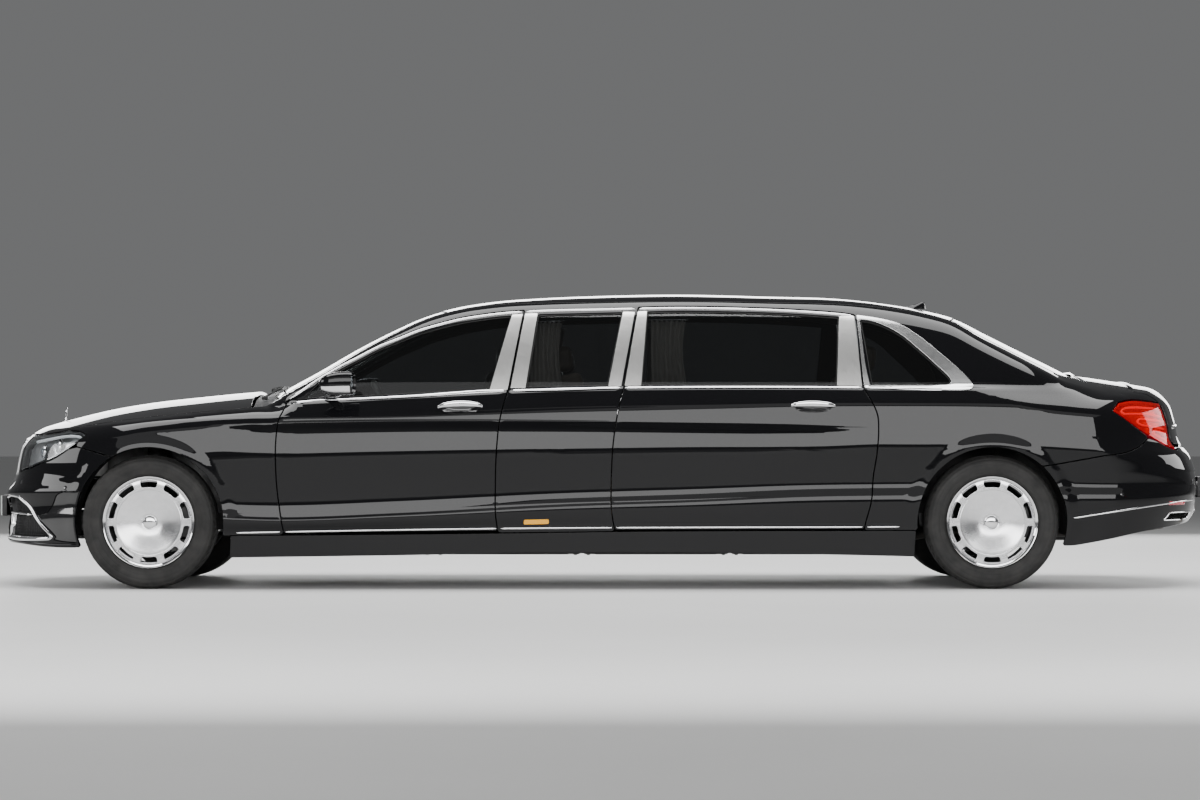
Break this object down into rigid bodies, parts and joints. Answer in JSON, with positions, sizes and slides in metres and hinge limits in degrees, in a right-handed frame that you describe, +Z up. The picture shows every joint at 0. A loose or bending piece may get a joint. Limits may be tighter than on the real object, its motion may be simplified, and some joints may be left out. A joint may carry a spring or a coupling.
{
  "type": "stretch limousine",
  "caption": "Long gloss black stretch limousine with front and rear side doors, a fixed middle window, bright trim strips, slotted polished wheels and lounge seats behind a partition.",
  "frame": {"origin": "middle of the footprint, at the ground under the tyres", "axes": "+X to the tail, +Y to the car's right side, +Z up; the nose looks along -X"},
  "size_m": [6.522, 2.191, 1.573],
  "materials": {
    "paint": "gloss",
    "tinted_glass": "tinted",
    "clear_glass": "light tint",
    "lamp_glass": "clear",
    "red_lamp": "gloss",
    "chrome": "polished",
    "polished_alloy": "polished",
    "tyre": "matt",
    "chassis": "painted matt black",
    "steel": "bare",
    "exhaust_steel": "heat-tinted",
    "black_plastic": "matt",
    "underbody": "matt",
    "engine_block": "cast",
    "black_leather": "satin",
    "cabin_leather": "satin",
    "trim": "satin",
    "plate": "blank"
  },
  "bodies": {
    "body": {"floor_pan": "underbody", "side_panels": "paint", "roof_panel": "paint", "front_fenders": "paint", "front_bumper": "paint", "rear_bumper": "paint", "radiator_grille": "chrome", "headlamps": "lamp_glass", "tail_lamps": "red_lamp", "windscreen": "clear_glass", "rear_window": "tinted_glass", "fixed_side_windows": "tinted_glass", "engine": "engine_block", "front_suspension": "chassis", "rear_suspension": "chassis", "exhaust": "exhaust_steel", "fuel_tank": "black_plastic", "dashboard": "trim", "front_seats": "black_leather", "lounge_seats": "cabin_leather", "partition": "trim", "licence_plates": "plate"},
    "hood": {"hood": "paint"},
    "trunk_lid": {"trunk_lid": "paint"},
    "steering_wheel": {"steering_wheel": "black_leather"},
    "front_door_left": {"front_door_left": "paint", "front_door_glass_left": "tinted_glass", "door_mirror_left": "paint"},
    "front_door_right": {"front_door_right": "paint", "front_door_glass_right": "tinted_glass", "door_mirror_right": "paint"},
    "rear_door_left": {"rear_door_left": "paint", "rear_door_glass_left": "tinted_glass"},
    "rear_door_right": {"rear_door_right": "paint", "rear_door_glass_right": "tinted_glass"},
    "steering_knuckle_left": {"steering_knuckle_left": "steel"},
    "steering_knuckle_right": {"steering_knuckle_right": "steel"},
    "wheel_front_left": {"wheel_front_left": "polished_alloy", "tyre_front_left": "tyre"},
    "wheel_front_right": {"wheel_front_right": "polished_alloy", "tyre_front_right": "tyre"},
    "wheel_rear_left": {"wheel_rear_left": "polished_alloy", "tyre_rear_left": "tyre"},
    "wheel_rear_right": {"wheel_rear_right": "polished_alloy", "tyre_rear_right": "tyre"}
  },
  "joints": [
    {"name": "hood_hinge", "type": "hinge", "parent": "body", "child": "hood", "pos_m": [-1.845, 0, 0.985], "axis": [0, 1, 0], "range_deg": [0, 45]},
    {"name": "trunk_lid_hinge", "type": "hinge", "parent": "body", "child": "trunk_lid", "pos_m": [2.563, 0, 1.122], "axis": [0, -1, 0], "range_deg": [0, 80]},
    {"name": "front_door_left_hinge", "type": "hinge", "parent": "body", "child": "front_door_left", "pos_m": [-1.706, -0.938, 0.6], "axis": [0, 0, -1], "range_deg": [0, 65]},
    {"name": "front_door_right_hinge", "type": "hinge", "parent": "body", "child": "front_door_right", "pos_m": [-1.706, 0.938, 0.6], "axis": [0, 0, 1], "range_deg": [0, 65]},
    {"name": "rear_door_left_hinge", "type": "hinge", "parent": "body", "child": "rear_door_left", "pos_m": [0.049, -0.9385, 0.6], "axis": [0, 0, -1], "range_deg": [0, 65]},
    {"name": "rear_door_right_hinge", "type": "hinge", "parent": "body", "child": "rear_door_right", "pos_m": [0.049, 0.9385, 0.6], "axis": [0, 0, 1], "range_deg": [0, 65]},
    {"name": "steer_left", "type": "hinge", "parent": "body", "child": "steering_knuckle_left", "pos_m": [-2.378, -0.71, 0.35], "axis": [0, 0, 1], "range_deg": [-30, 30]},
    {"name": "steer_right", "type": "hinge", "parent": "body", "child": "steering_knuckle_right", "pos_m": [-2.378, 0.71, 0.35], "axis": [0, 0, 1], "range_deg": [-30, 30]},
    {"name": "steering_wheel_turn", "type": "hinge", "parent": "body", "child": "steering_wheel", "pos_m": [-1.15, -0.44, 0.92], "axis": [0.9063, 0, 0.4226], "range_deg": [-480, 480]},
    {"name": "wheel_front_left_spin", "type": "hinge", "parent": "steering_knuckle_left", "child": "wheel_front_left", "pos_m": [-2.378, -0.8, 0.35], "axis": [0, 1, 0], "continuous": true},
    {"name": "wheel_front_right_spin", "type": "hinge", "parent": "steering_knuckle_right", "child": "wheel_front_right", "pos_m": [-2.378, 0.8, 0.35], "axis": [0, 1, 0], "continuous": true},
    {"name": "wheel_rear_left_spin", "type": "hinge", "parent": "body", "child": "wheel_rear_left", "pos_m": [2.04, -0.8, 0.35], "axis": [0, 1, 0], "continuous": true},
    {"name": "wheel_rear_right_spin", "type": "hinge", "parent": "body", "child": "wheel_rear_right", "pos_m": [2.04, 0.8, 0.35], "axis": [0, 1, 0], "continuous": true}
  ],
  "couplings": [
    {"joint": "steer_right", "follows": "steer_left", "ratio": 1},
    {"joint": "steering_wheel_turn", "follows": "steer_left", "ratio": 14}
  ]
}
